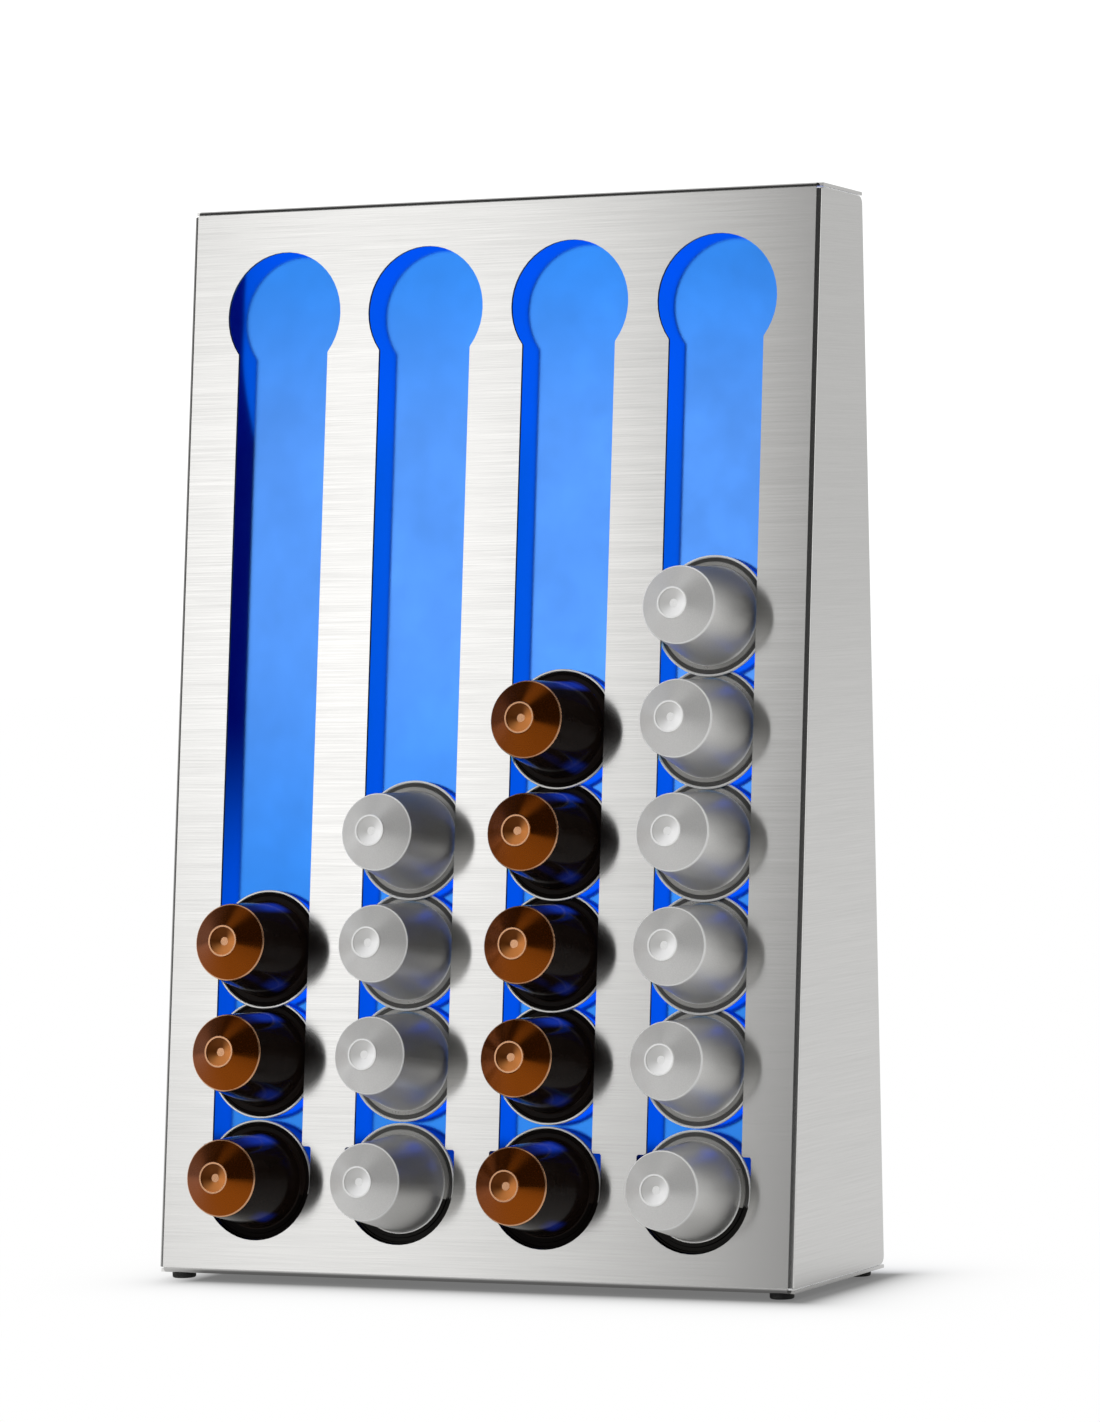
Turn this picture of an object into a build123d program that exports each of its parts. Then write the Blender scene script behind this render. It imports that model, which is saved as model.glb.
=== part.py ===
from build123d import *
import os
from math import asin, cos, degrees, radians, sin, sqrt, tan

# Gravity-fed coffee capsule holder. A folded steel casing leans back and has a row of keyhole
# slots. Capsules go in at the round top of a slot, slide down behind the front with their noses
# out, and leave at the wide foot of the slot. A blue liner closes the channel behind the rims.
# Millimetres and degrees. +Z is up, the front faces -Y, and the feet stand on Z = 0.

# Casing sheet
SHEET = 1.0                  # thickness of the folded casing
BEND_INSIDE = 0.5            # inside radius of its folds
RELIEF_ROOM = 0.3            # corner notch beyond the outside of a fold
SEAM = 0.35                  # gap from a side wall to the top and the bottom
PANEL_HEIGHT = 333.0         # front, measured up its slope
LEAN = 6.75                  # how far the front leans back
TOP_DEPTH = 31.4             # front edge to rear edge at the top
TOP_FALL = 3.4               # slope of the top towards the rear
REAR_CORNER = 2.5            # rounding of the side walls' rear corners
SIDE_MARGIN = 14.8           # outermost rim to the outside of the side wall

# Capsules, each a drawn aluminium cup and a foil lid
CAPSULES_PER_COLUMN = (3, 4, 5, 6)
BODY_DIAMETER = 29.7         # body where it meets the rim
BODY_TAPER = 3.0             # what the body loses in radius up to its shoulder
RIM_FLANGE = 3.65            # width of the rim outside the body
RIM_THICKNESS = 1.1
RIM_BEAD = 0.75              # curled edge of the rim
RIM_GROOVE = 1.1             # width of the groove inside the curled edge
RIM_GROOVE_DEPTH = 0.4
RIM_ROUND = 0.2              # small roundings of the rim
ROOT_ROUND = 0.6             # rounding between rim and body
CAPSULE_HEIGHT = 30.0        # lid to nose
NOSE_RISE = 5.0              # shoulder to nose
SHOULDER_ROUND = 1.0
NOSE_RING_DIAMETER = 9.1     # raised ring on the nose, at its crest
NOSE_RING_WIDTH = 0.5
NOSE_RING_HEIGHT = 0.35
NOSE_RING_FLANK = 0.2        # width of the ring's sloping flanks
DISH_DEPTH = 1.5             # conical dish inside the ring
DISH_DOT = 1.3               # flat spot in the middle of the dish
CUP_WALL = 0.4
FOIL = 0.2                   # thickness of the lid
FOIL_GAP = 0.2               # lid edge to the curled rim

# How the capsules sit in the casing
CONTACT = 0.3                # room between pieces that rest on each other
STACK_ROOM = 0.6             # rim edge to the body of the capsule below
COLUMN_GAP = 12.4            # between the rims of neighbouring columns
EXIT_RISE = 29.6             # bottom edge of the front to the centre of an exit
LOADING_DROP = 33.9          # top edge of the front to the centre of a loading hole
SLOT_ROOM = 0.85             # body to the edge of its slot
EXIT_ROOM = 0.3              # rim to the edge of the exit
LOADING_ROOM = 1.3           # rim to the edge of the loading hole
SHOULDER_ROOM = 0.3          # exit's shoulders above where the rim needs them
SLOT_CORNER = 0.8            # rounding where a slot changes width
STEP_SHARE = 0.45            # most of a slot's step that one rounding may take

# Liner
LINER_SHEET = 0.8
LINER_BEND_INSIDE = 0.4
LINER_ROOM = 2.3             # behind the rims
LINER_SIDE_ROOM = 0.6
LINER_TOP_ROOM = 0.8
LEDGE_ROOM = 0.2             # bottom rims to the ledge that carries them
LEDGE_FRONT_ROOM = 0.25      # ledge to the back of the front

# Fixings of the liner
STUD_DIAMETER = 3.0
STUD_ROOM = 0.1              # stud to the bores of sleeves, liner and washers
THREAD_ROOM = 0.05           # stud to the nut's bore
STUD_TIP = 1.2               # stud beyond the nut
STUD_TIP_CHAMFER = 0.3
STUD_BOTTOM_RISE = 20.0      # lowest row above the front's bottom edge
STUD_TOP_DROP = 10.0         # highest row below the front's top edge
STUD_ROWS = 3
SLEEVE_WALL = 1.4
WASHER_DIAMETER = 7.0
WASHER_THICKNESS = 0.5
NUT_ACROSS_FLATS = 5.5
NUT_HEIGHT = 2.4
NUT_CHAMFER = 0.35

# Feet
FOOT_DIAMETER = 7.4
FOOT_HEIGHT = 2.0
FOOT_ROUND = 0.6
FOOT_INSET = 5.9             # foot centre from the edges of the base

# How near an edge or a corner has to lie to its worked-out place to be picked
PICK = 0.1

# Sizes that follow from those above
RIM_RADIUS = BODY_DIAMETER / 2 + RIM_FLANGE
COLUMN_PITCH = 2 * RIM_RADIUS + COLUMN_GAP
COLUMN_COUNT = len(CAPSULES_PER_COLUMN)
COLUMN_X = [(i - (COLUMN_COUNT - 1) / 2) * COLUMN_PITCH for i in range(COLUMN_COUNT)]
WIDTH = 2 * (COLUMN_X[-1] + RIM_RADIUS + SIDE_MARGIN)
BASE_DEPTH = TOP_DEPTH + PANEL_HEIGHT * sin(radians(LEAN))
BEND_OUTSIDE = BEND_INSIDE + SHEET
RELIEF = BEND_OUTSIDE + RELIEF_ROOM
SLOT_WIDTH = BODY_DIAMETER + 2 * SLOT_ROOM
EXIT_RADIUS = RIM_RADIUS + EXIT_ROOM
LOADING_RADIUS = RIM_RADIUS + LOADING_ROOM
LOADING_RISE = PANEL_HEIGHT - LOADING_DROP

# Capsules above the lowest one lie like shingles: each is tipped nose up, so that its lower rim
# edge passes in front of the rim below and stops at that capsule's body.
STACK_PITCH = BODY_DIAMETER / 2 + RIM_RADIUS + STACK_ROOM
STACK_TILT = degrees(asin((RIM_THICKNESS + CONTACT) / STACK_PITCH))
RIM_SWING = RIM_RADIUS * sin(radians(STACK_TILT))
STACK_LID = -(SHEET + CONTACT + RIM_THICKNESS + RIM_SWING)
LOWEST_LID = -(SHEET + CONTACT + RIM_THICKNESS)
SECOND_RISE = EXIT_RISE + RIM_RADIUS + CONTACT + RIM_RADIUS * cos(radians(STACK_TILT))
LINER_FACE = STACK_LID - RIM_SWING - LINER_ROOM
CHANNEL_GAP = -LINER_FACE - SHEET
LEDGE_RISE = EXIT_RISE - RIM_RADIUS - LEDGE_ROOM

# The front edge of the base is set so that the origin lies under the middle of the whole object,
# from the noses of the lowest capsules to the rear edge.
NOSE_REACH = (
    (LOWEST_LID + CAPSULE_HEIGHT) * cos(radians(LEAN))
    - (EXIT_RISE - (NOSE_RING_DIAMETER + NOSE_RING_WIDTH) / 2) * sin(radians(LEAN))
)
FRONT_Y = (NOSE_REACH - BASE_DEPTH) / 2
REAR_Y = FRONT_Y + BASE_DEPTH

# The front's own frame: X across, Y up its slope, Z straight out of its outer face.
FRONT = Plane(
    origin=(0, FRONT_Y, FOOT_HEIGHT),
    x_dir=(1, 0, 0),
    z_dir=(0, -cos(radians(LEAN)), sin(radians(LEAN))),
)


def casing_outline(inset, rear_y):
    """Side view of the casing up to rear_y, moved in by inset elsewhere, as (y, z) points."""
    lean = tan(radians(LEAN))
    fall = tan(radians(TOP_FALL))
    front = inset / cos(radians(LEAN))
    top_drop = inset / cos(radians(TOP_FALL))
    top_y = FRONT_Y + PANEL_HEIGHT * sin(radians(LEAN))
    top_z = FOOT_HEIGHT + PANEL_HEIGHT * cos(radians(LEAN))
    bottom_z = FOOT_HEIGHT + inset

    def front_y(z):
        return FRONT_Y + front + (z - FOOT_HEIGHT) * lean

    def under_top(y):
        return top_z - top_drop - (y - top_y) * fall

    # The inner front line and the underside of the top cross here.
    corner_z = under_top(front_y(0)) / (1 + lean * fall)
    corner_y = front_y(corner_z)
    return [
        (front_y(bottom_z), bottom_z),
        (corner_y, corner_z),
        (rear_y, under_top(rear_y)),
        (rear_y, bottom_z),
    ]


def wedge(points, width):
    """Prism across the object with the given side view, centred on the middle plane."""
    face = make_face(Polyline(*points, close=True))
    return extrude(Plane.YZ * face, amount=width / 2, both=True)


def keyhole(x):
    """Outline of one slot in the front's frame: loading hole, slot and exit."""
    half_slot = SLOT_WIDTH / 2
    shoulder = EXIT_RISE + sqrt(EXIT_RADIUS**2 - half_slot**2) + SHOULDER_ROOM
    neck = LOADING_RISE - sqrt(LOADING_RADIUS**2 - half_slot**2)
    corner = min(SLOT_CORNER, (EXIT_RADIUS - half_slot) * STEP_SHARE)
    loading = Pos(x, LOADING_RISE) * Circle(LOADING_RADIUS)
    slot = Pos(x, (EXIT_RISE + LOADING_RISE) / 2) * Rectangle(SLOT_WIDTH, LOADING_RISE - EXIT_RISE)
    foot = Pos(x, EXIT_RISE) * Circle(EXIT_RADIUS)
    sides = Pos(x, (EXIT_RISE + shoulder) / 2) * Rectangle(2 * EXIT_RADIUS, shoulder - EXIT_RISE)
    outline = loading + slot + foot + sides
    steps = [v for v in outline.vertices() if min(abs(v.Y - shoulder), abs(v.Y - neck)) < PICK]
    return fillet(steps, corner)


def round_folds(solid, radius, inset):
    """Round the four folds around the front, inside or outside, at the given inset."""
    half_width = WIDTH / 2 - inset
    folds = []
    for edge in solid.edges().filter_by(GeomType.LINE):
        middle = FRONT.to_local_coords(edge.center())
        on_face = abs(middle.Z + inset) < PICK
        upright = abs(abs(middle.X) - half_width) < PICK and edge.length > PANEL_HEIGHT / 2
        across = abs(middle.X) < PICK and edge.length > WIDTH / 2
        if on_face and (upright or across):
            folds.append(edge)
    return fillet(folds, radius)


def side_seam(line, low, high):
    """Gap through both side walls along a line of the side view, from behind the corner notches."""
    (y0, z0), (y1, z1) = line
    slope = (z1 - z0) / (y1 - y0)
    ends = [(y, z0 + slope * (y - y0)) for y in (y0 - SHEET, y1 + SHEET)]
    strip = [(y, z + low) for y, z in ends] + [(y, z + high) for y, z in reversed(ends)]
    gap = wedge(strip, WIDTH + 2 * SHEET) - wedge(strip, WIDTH - 2 * SHEET)
    ahead = Box(2 * WIDTH, 3 * PANEL_HEIGHT, WIDTH, align=(Align.CENTER, Align.CENTER, Align.MIN))
    return gap - FRONT * (Pos(0, 0, -RELIEF) * ahead)


def casing():
    """One sheet folded back on all four sides of the front, open at the rear."""
    hollow = casing_outline(SHEET, REAR_Y + SHEET)
    solid = wedge(casing_outline(0, REAR_Y), WIDTH) - wedge(hollow, WIDTH - 2 * SHEET)
    solid -= side_seam((hollow[1], hollow[2]), -SEAM, 0)
    solid -= side_seam((hollow[0], hollow[3]), 0, SEAM)

    # Square notches at the front corners keep the folds apart.
    notch = Box(2 * RELIEF, 2 * RELIEF, 2 * RELIEF)
    for x in (-WIDTH / 2, WIDTH / 2):
        for rise in (0, PANEL_HEIGHT):
            solid -= FRONT * (Pos(x, rise, 0) * notch)
    solid = round_folds(solid, BEND_OUTSIDE, 0)
    solid = round_folds(solid, BEND_INSIDE, SHEET)

    # The side walls' rear corners are the only short edges across the rear.
    rear = [e for e in solid.edges().filter_by(Axis.X) if abs(e.center().Y - REAR_Y) < PICK]
    solid = fillet([e for e in rear if e.length < 2 * SHEET], REAR_CORNER)

    for x in COLUMN_X:
        solid -= FRONT * extrude(keyhole(x), amount=2 * SHEET, both=True)
    return solid


def liner():
    """Blue sheet behind the front, with its foot bent forward as the ledge under the rims."""
    width = WIDTH - 2 * (SHEET + LINER_SIDE_ROOM)
    back = LINER_FACE - LINER_SHEET
    low = LEDGE_RISE - LINER_SHEET
    high = PANEL_HEIGHT - SHEET - LINER_TOP_ROOM
    front = -(SHEET + LEDGE_FRONT_ROOM)
    sheet = Pos(0, low, back) * Box(
        width, high - low, LINER_SHEET, align=(Align.CENTER, Align.MIN, Align.MIN))
    ledge = Pos(0, low, back) * Box(
        width, LINER_SHEET, front - back, align=(Align.CENTER, Align.MIN, Align.MIN))
    solid = sheet + ledge
    for y, z, radius in (
        (low, back, LINER_BEND_INSIDE + LINER_SHEET),
        (LEDGE_RISE, LINER_FACE, LINER_BEND_INSIDE),
    ):
        fold = [
            e for e in solid.edges().filter_by(Axis.X)
            if abs(e.center().Y - y) < PICK and abs(e.center().Z - z) < PICK
        ]
        solid = fillet(fold, radius)
    for x, y in stud_places():
        hole = Cylinder(STUD_DIAMETER / 2 + STUD_ROOM, 4 * LINER_SHEET)
        solid -= Pos(x, y, LINER_FACE) * hole
    return FRONT * solid


def stud_places():
    """Stud centres in the front's frame: between the columns and in the side margins."""
    margin = COLUMN_X[-1] + RIM_RADIUS + SIDE_MARGIN / 2
    between = [(a + b) / 2 for a, b in zip(COLUMN_X, COLUMN_X[1:])]
    lowest = STUD_BOTTOM_RISE
    step = (PANEL_HEIGHT - STUD_TOP_DROP - lowest) / (STUD_ROWS - 1)
    return [
        (x, lowest + row * step)
        for row in range(STUD_ROWS)
        for x in (-margin, *between, margin)
    ]


def at_studs(piece):
    """One copy of a piece at every stud, as a group of separate solids."""
    return Compound([FRONT * (Pos(x, y, 0) * piece) for x, y in stud_places()])


def upright_tube(outer, inner, low, high):
    """Round tube along the front's normal, from low to high in the front's frame."""
    body = Cylinder(outer, high - low, align=(Align.CENTER, Align.CENTER, Align.MIN))
    bore = Cylinder(inner, 3 * (high - low))
    return Pos(0, 0, low) * (body - bore)


def studs():
    """Threaded studs welded to the back of the front."""
    reach = CHANNEL_GAP + LINER_SHEET + WASHER_THICKNESS + NUT_HEIGHT + STUD_TIP
    stud = Cylinder(STUD_DIAMETER / 2, reach, align=(Align.CENTER, Align.CENTER, Align.MAX))
    stud = chamfer(stud.edges().sort_by(Axis.Z)[0], STUD_TIP_CHAMFER)
    return at_studs(Pos(0, 0, -SHEET) * stud)


def sleeves():
    """Spacer sleeves that hold the liner off the front."""
    bore = STUD_DIAMETER / 2 + STUD_ROOM
    return at_studs(upright_tube(bore + SLEEVE_WALL, bore, LINER_FACE, -SHEET))


def washers():
    """Flat washers behind the liner."""
    back = LINER_FACE - LINER_SHEET
    bore = STUD_DIAMETER / 2 + STUD_ROOM
    return at_studs(upright_tube(WASHER_DIAMETER / 2, bore, back - WASHER_THICKNESS, back))


def nuts():
    """Hexagon nuts on the studs."""
    seat = LINER_FACE - LINER_SHEET - WASHER_THICKNESS
    across_corners = NUT_ACROSS_FLATS / cos(radians(30))
    hexagon = extrude(RegularPolygon(across_corners / 2, 6), amount=NUT_HEIGHT)
    cone = Cone(
        across_corners / 2 - NUT_CHAMFER + NUT_HEIGHT, across_corners / 2 - NUT_CHAMFER, NUT_HEIGHT,
        align=(Align.CENTER, Align.CENTER, Align.MIN))
    blank = hexagon & Rot(X=180) * Pos(0, 0, -NUT_HEIGHT) * cone
    bore = Cylinder(STUD_DIAMETER / 2 + THREAD_ROOM, 3 * NUT_HEIGHT)
    return at_studs(Pos(0, 0, seat - NUT_HEIGHT) * (blank - bore))


def foot(side, y):
    """Round rubber foot under the base."""
    pad = Cylinder(FOOT_DIAMETER / 2, FOOT_HEIGHT, align=(Align.CENTER, Align.CENTER, Align.MIN))
    pad = fillet(pad.edges().sort_by(Axis.Z)[0], FOOT_ROUND)
    return Pos(side * (WIDTH / 2 - FOOT_INSET), y, 0) * pad


def capsule_cup():
    """Drawn cup, nose up, standing with its lid on Z = 0."""
    rim_in = BODY_DIAMETER / 2
    bead_in = RIM_RADIUS - RIM_BEAD
    groove_in = bead_in - RIM_GROOVE
    floor = RIM_THICKNESS - RIM_GROOVE_DEPTH
    shoulder_r = rim_in - BODY_TAPER
    shoulder_h = CAPSULE_HEIGHT - NOSE_RISE
    crest_in = (NOSE_RING_DIAMETER - NOSE_RING_WIDTH) / 2
    crest_out = (NOSE_RING_DIAMETER + NOSE_RING_WIDTH) / 2
    ring_foot = CAPSULE_HEIGHT - NOSE_RING_HEIGHT
    dish = CAPSULE_HEIGHT - DISH_DEPTH
    outside = [
        (0, dish),
        (DISH_DOT, dish),
        (crest_in - NOSE_RING_FLANK, ring_foot),
        (crest_in, CAPSULE_HEIGHT),
        (crest_out, CAPSULE_HEIGHT),
        (crest_out + NOSE_RING_FLANK, ring_foot),
        (shoulder_r, shoulder_h),
        (rim_in, RIM_THICKNESS),
        (groove_in - RIM_ROUND, RIM_THICKNESS),
        (groove_in, floor),
        (bead_in, floor),
        (bead_in + RIM_ROUND, RIM_THICKNESS),
        (RIM_RADIUS, RIM_THICKNESS),
        (RIM_RADIUS, 0),
        (bead_in, 0),
        (bead_in, FOIL),
    ]
    inside = [
        (rim_in - CUP_WALL, FOIL),
        (shoulder_r - CUP_WALL, shoulder_h - CUP_WALL),
        (crest_out, ring_foot - CUP_WALL),
        (crest_in, ring_foot - CUP_WALL),
        (DISH_DOT, dish - CUP_WALL),
        (0, dish - CUP_WALL),
    ]
    section = make_face(Polyline(*outside, *inside, close=True))
    rounded = [
        (shoulder_r, shoulder_h, SHOULDER_ROUND),
        (shoulder_r - CUP_WALL, shoulder_h - CUP_WALL, SHOULDER_ROUND - CUP_WALL),
        (rim_in, RIM_THICKNESS, ROOT_ROUND),
        (RIM_RADIUS, RIM_THICKNESS, RIM_ROUND),
        (RIM_RADIUS, 0, RIM_ROUND),
    ]
    for x, y, radius in rounded:
        corner = section.vertices().sort_by_distance((x, y, 0))[0]
        section = fillet(corner, radius)
    return revolve(Plane.XZ * section, axis=Axis.Z)


def capsule_lid():
    """Foil disc seated in the cup's curled rim."""
    radius = RIM_RADIUS - RIM_BEAD - FOIL_GAP
    return Cylinder(radius, FOIL, align=(Align.CENTER, Align.CENTER, Align.MIN))


def capsule_place(column, number):
    """Where a capsule sits: number 1 is in the exit, the others lean on the one below."""
    if number == 1:
        return FRONT.location * Pos(COLUMN_X[column], EXIT_RISE, LOWEST_LID)
    rise = SECOND_RISE + (number - 2) * STACK_PITCH
    return FRONT.location * Pos(COLUMN_X[column], rise, STACK_LID) * Rot(X=-STACK_TILT)


def save(shape, node):
    export_step(shape, f"parts/{node}.step")


os.makedirs("parts", exist_ok=True)
save(casing(), "casing")
save(liner(), "blue_liner")
save(studs(), "liner_studs")
save(sleeves(), "spacer_sleeves")
save(washers(), "liner_washers")
save(nuts(), "liner_nuts")
for depth_name, foot_y in (("front", FRONT_Y + FOOT_INSET), ("rear", REAR_Y - FOOT_INSET)):
    for side_name, foot_side in (("left", -1), ("right", 1)):
        save(foot(foot_side, foot_y), f"foot_{depth_name}_{side_name}")

cup = capsule_cup()
lid = capsule_lid()
for column_index, filled in enumerate(CAPSULES_PER_COLUMN):
    for capsule_number in range(1, filled + 1):
        place = capsule_place(column_index, capsule_number)
        name = f"column{column_index + 1}_capsule{capsule_number}"
        save(place * cup, f"{name}_cup")
        save(place * lid, f"{name}_lid")
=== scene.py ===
from math import cos, pi, radians, sin

import bmesh
import bpy
import numpy as np
from bpy.props import FloatProperty, FloatVectorProperty, PointerProperty
from mathutils import Matrix, Vector


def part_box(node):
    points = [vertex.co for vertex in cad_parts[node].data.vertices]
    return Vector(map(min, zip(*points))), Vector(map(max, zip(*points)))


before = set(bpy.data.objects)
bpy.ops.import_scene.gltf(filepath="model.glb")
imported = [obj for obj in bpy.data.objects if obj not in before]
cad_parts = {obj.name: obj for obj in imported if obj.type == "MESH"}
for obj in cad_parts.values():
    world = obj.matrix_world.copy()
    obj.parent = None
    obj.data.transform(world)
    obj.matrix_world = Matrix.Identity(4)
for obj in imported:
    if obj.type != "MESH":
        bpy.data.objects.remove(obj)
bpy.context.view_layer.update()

bl_info = {
    "name": "Capsule holder finishes",
    "version": (1, 0, 0),
    "blender": (4, 5, 0),
    "location": "View3D > Sidebar > Capsule holder",
    "description": "Finishes, light and camera for the coffee capsule holder",
    "category": "Material",
}

BROWN_COLUMNS = ("column1_", "column3_")
SILVER_COLUMNS = ("column2_", "column4_")
FIXINGS = ("liner_studs", "spacer_sleeves", "liner_washers", "liner_nuts")

# Directions that the finishes follow
UP = Vector((0, 0, 1))
UP_THE_SHEET = (0, 0.05, 1)
CAPSULE_AXIS = (0, -0.988, 0.155)
UP_THE_SLOPE = (0, 0.155, 0.988)
TO_THE_RIGHT = (1, 0, 0)
# Direction from which the dishes' painted light comes
UPPER_LEFT = (-0.6, 0, 0.8)

# Zones of the casing's faces and the lengths in metres that part them
OUTSIDE, INSIDE, CHANNEL, CUT, EXIT_CUT = range(5)
HEART_SHARE = 0.25
LEAN_SLOPE = 0.1184
FRONT_DEPTH = 0.003
SIDE_MARGIN = 0.008
FOLD_MARGIN = 0.005
# Cut edges below this height lie in the exits and take the darkest painted shade
EXIT_HEIGHT = 0.036

# Painted blue glow behind the front, an emission standing in for light caught between the front and the
# liner: strips beside the slots, and where it fades and grows dim
COLUMN_PITCH = 0.0494
FIRST_STRIP = -0.0898
STRIP_WIDTH = 0.008
SOFT_EDGE = 0.0005
ABOVE_EXITS = (0.041, 0.047)
ROUND_TOPS = (0.258, 0.264)
LOW_LIGHT = (0.115, 0.175)
DIM_HEIGHTS = (0.255, 0.290)
DIM_EDGES = (-0.0892, -0.0953)
DIM_WAVE = 0.0012

# Heights of the liner's painted shade at its foot and of its painted light, which rises and falls with
# height, and the depth of its waves
LINER_PAINTED_SHADE = (0.015, 0.020)
LINER_RISE = (0.10, 0.21)
LINER_FALL = (0.25, 0.325)
LINER_WAVE = 0.00025

# Zones of a capsule's faces, by distance from its axis and height above its lid
# The painted highlight zone is the dish's dot, the ring and the shoulder edge, coloured light as a painted
# highlight
NOSE, BODY, FLANGE, PAINTED_HIGHLIGHT_ZONE, CURL, DISH, GROOVE, SHADED = range(8)
NOSE_START = 0.0249
RIM_HEIGHT = 0.0016
RIM_RADIUS = 0.0153
GROOVE_RADIUS = 0.0166
CURL_RADIUS = 0.0178
DISH_RADIUS = 0.00425
DISH_FLOOR = 0.0280
DOT_RADIUS = 0.0012
RING_RADIUS = 0.00485
RING_HEIGHT = 0.0298
SHOULDER_RADII = (0.0110, 0.0122)
SHOULDER_HEIGHTS = (0.0247, 0.0252)
# How far below the lid's middle the painted shade on the lowest rims begins
SHADE_DROP = 0.004

# Painted reflection of the blue liner on the dark bodies, as two blue patches: turn about the axis, fade
# beside it, and heights where they end
PAINTED_REFLECTION_START = (0.003, 0.008)
UPPER_TURN, UPPER_FADE, UPPER_END = radians(66), (radians(5), radians(18)), (0.013, 0.023)
LOWER_TURN, LOWER_FADE, LOWER_END = radians(-58), (radians(3), radians(14)), (0.010, 0.017)
UPPER_REST = 0.3
LOWER_SHARE = 0.3

# Painted shadow on the floor, laid by distance from the casing's box, and the floor's radiance in reflections
# from the front to the rear
SHADOW_SHIFT = Vector((0.009, -0.001, 0))
SHADOW_TRIM = Vector((0.006, 0, 0))
SHADOW_RIM = 0.002
SHINE_PLACES, SHINE = (-0.3, 0.15), (0.5, 0.85)

# Left softbox: sines of its heights, turns of its sides from straight ahead, shares of its radiance
KEY_FOOT, KEY_HEART, KEY_HEAD = sin(radians(0)), sin(radians(11.3)), sin(radians(26))
KEY_FOOT_FADE, KEY_HEAD_FADE, KEY_FALL = 0.02, 0.03, 0.09
KEY_LEFT = (radians(-42), radians(-40))
KEY_CORE = (radians(-34), radians(-28))
KEY_RIGHT = (radians(-28.1), radians(-21.1))
KEY_FLANK_SHARE, KEY_LEFT_SHARE = 0.52, 0.38

# Rest of the studio: where its areas fade, and the even light's shares on the left and the right
BACKDROP_FADE = (0.05, 0.35)
CEILING_FADE = (0.90, 0.985)
WALL_FADE = (-0.95, -0.75)
DOME_LEFT, DOME_RIGHT = 1.9, 0.12

# Size, place and direction of the lamps, and the camera's sensor and clipping
STRIP_LAMP = ((0.6, 2.4), (2.6, 0.6, 0.9), (-1, -0.23, -0.2))
TOP_LAMP = ((1.2, 1.2), (-0.35, 0.55, 2.2), (0.16, -0.25, -1))
SENSOR_WIDTH = 36.0
CLIP_START, CLIP_END = 0.01, 100.0


# Settings that a user would change

def colour_setting(name, description, default):
    return FloatVectorProperty(
        name=name, description=description, subtype="COLOR", size=3, min=0, max=1, default=default)


def share_setting(name, description, default):
    return FloatProperty(
        name=name, description=description, subtype="FACTOR", min=0, max=1, default=default)


def length_setting(name, description, default):
    return FloatProperty(
        name=name, description=description, unit="LENGTH", subtype="DISTANCE", default=default)


class SteelSettings(bpy.types.PropertyGroup):
    """Brushed steel of the casing"""

    colour: colour_setting("Colour", "Colour of the brushed steel", (0.64, 0.635, 0.622))
    inside: colour_setting("Inside colour", "Colour of the smoother inside of the sheet", (0.86, 0.86, 0.86))
    roughness: share_setting("Roughness", "Mean roughness of the brushed face", 0.14)
    brushing: share_setting("Brushing", "How far highlights stretch across the brushing", 0.9)
    # Caught light and dim light are the colours of a painted glow on the back of the front
    caught_light: colour_setting(
        "Caught light", "Light between the front and the liner", (0.006, 0.265, 0.64))
    dim_light: colour_setting("Dim light", "Light at the left end of that gap", (0.001, 0.002, 0.085))
    line: length_setting("Brush line", "Width of the fine brush lines", 0.00035)


class LinerSettings(bpy.types.PropertyGroup):
    """Blue mirror sheet behind the front"""

    colour: colour_setting("Colour", "Colour of the blue mirror sheet", (0.10, 0.335, 0.985))
    roughness: share_setting("Roughness", "Roughness of the mirror sheet", 0.2)
    wave: length_setting("Wave", "Length of the sheet's gentle waves", 0.09)
    # Painted shade: the darker blue of the sheet at its top and low down
    painted_shade_blue: colour_setting("Deep colour", "Colour of the sheet at its top and low down", (0.04, 0.29, 1.0))
    # Painted shade at the sheet's foot, below the exits
    foot: colour_setting("Foot colour", "Colour of the shaded foot of the sheet", (0.002, 0.006, 0.02))
    bow: FloatProperty(
        name="Bow", description="Slope that the sheet's bow gives it across the front", default=0.02)


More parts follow.
